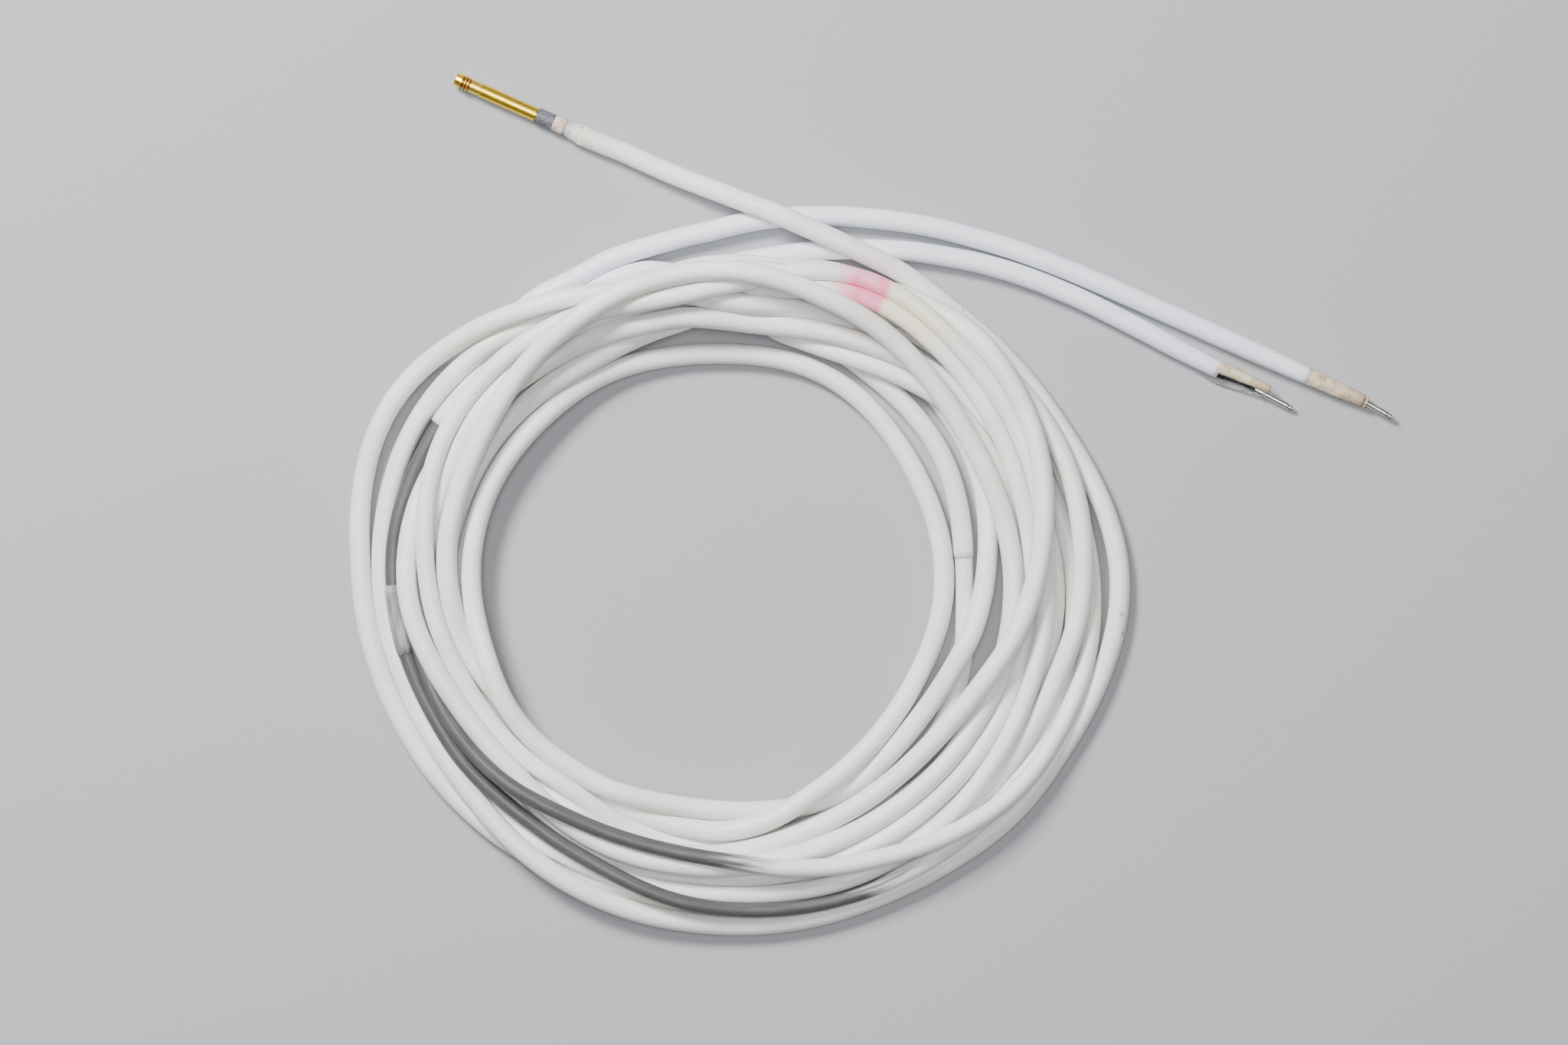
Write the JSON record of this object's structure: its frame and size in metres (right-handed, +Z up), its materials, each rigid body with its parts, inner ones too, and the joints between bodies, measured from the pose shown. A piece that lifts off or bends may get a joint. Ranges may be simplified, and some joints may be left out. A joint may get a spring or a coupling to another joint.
{
  "type": "instrument cable",
  "caption": "Coiled white silicone instrument lead: a gold screw-in plug on a trunk that divides into two legs, each with a tan boot and a nickel pin.",
  "frame": {"origin": "centre of the overall box, on the surface that the coil lies on", "axes": "+X towards the two pin ends, +Y towards the gold plug's side, +Z up out of the coil"},
  "size_m": [0.2519, 0.2069, 0.014],
  "materials": {
    "gold": "gold plated, polished",
    "steel": "spring steel, bright",
    "nickel": "nickel plated, satin, lightly scratched",
    "copper": "bare strands, dull",
    "crimp_grey": "matt, mottled",
    "band_beige": "matt, stained",
    "relief_cloudy": "cloudy silicone, satin",
    "silicone_white": "white silicone, satin, slightly translucent",
    "leg_white": "cool white silicone, satin",
    "lead_grey": "grey silicone, satin sheen",
    "sleeve_frosted": "frosted, translucent over grey",
    "boot_tan": "yellowed silicone, stained brown",
    "lip_amber": "glassy, yellowish",
    "core_black": "glossy black insulation"
  },
  "bodies": {
    "cable": {"spring_washers": "steel", "contact_stem": "nickel", "retaining_ring": "steel", "crimp_sleeve": "crimp_grey", "crimp_band": "band_beige", "strain_relief": "relief_cloudy", "trunk_core": "silicone_white", "trunk_sleeve": "silicone_white", "cable_coil": "silicone_white", "y_joint": "silicone_white", "sleeve_joint": "silicone_white", "grey_lead_a": "lead_grey", "grey_lead_b": "lead_grey", "splice_sleeve": "sleeve_frosted", "leg_a_sleeve": "leg_white", "leg_a_boot": "boot_tan", "leg_a_lip": "lip_amber", "leg_a_pin": "nickel", "leg_a_core": "silicone_white", "leg_a_wire": "copper", "leg_b_sleeve": "leg_white", "leg_b_boot": "boot_tan", "leg_b_pin": "nickel", "leg_b_rings": "nickel", "leg_b_core": "core_black", "leg_b_strand": "copper"},
    "plug_shell": {"plug_tip": "gold", "threaded_bush": "gold", "plug_barrel": "gold"}
  },
  "joints": [
    {"name": "plug_turn", "type": "hinge", "parent": "cable", "child": "plug_shell", "pos_m": [-0.1006, 0.1022, 0.0025], "axis": [0.9135, -0.4067, 0], "continuous": true}
  ]
}
